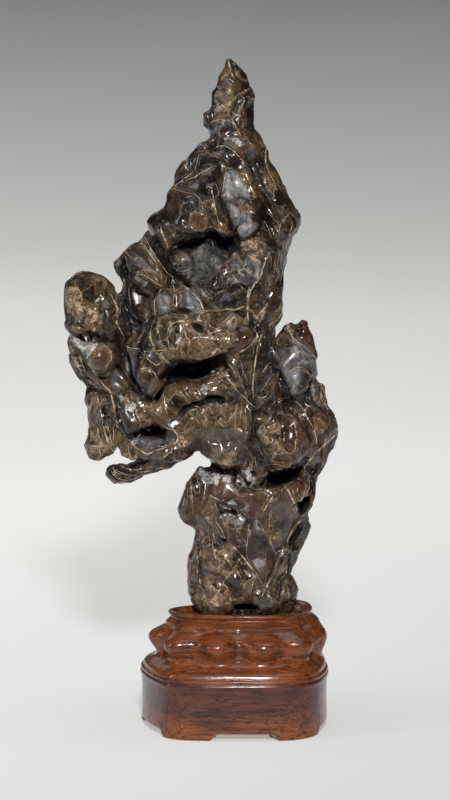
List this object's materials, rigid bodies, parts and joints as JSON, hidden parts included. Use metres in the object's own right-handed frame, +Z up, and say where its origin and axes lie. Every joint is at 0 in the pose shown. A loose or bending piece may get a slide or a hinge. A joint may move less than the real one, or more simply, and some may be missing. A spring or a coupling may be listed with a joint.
{
  "type": "scholars rock",
  "caption": "Upright water-worn dark limestone with hollows and pale veins, set in the socket of a carved, footed hardwood stand.",
  "frame": {"origin": "on the surface it stands on, under the middle of the object's box", "axes": "+Z up, -Y towards the viewer of the stone's best side, +X to that viewer's right"},
  "size_m": [0.165, 0.0939, 0.4018],
  "materials": {
    "stone": "polished by handling, dark brown to black with thin cream veins and tan crusts",
    "wood": "waxed red-brown rosewood with fine dark pores"
  },
  "bodies": {
    "root": {"rock": "stone", "stand": "wood"}
  },
  "joints": []
}
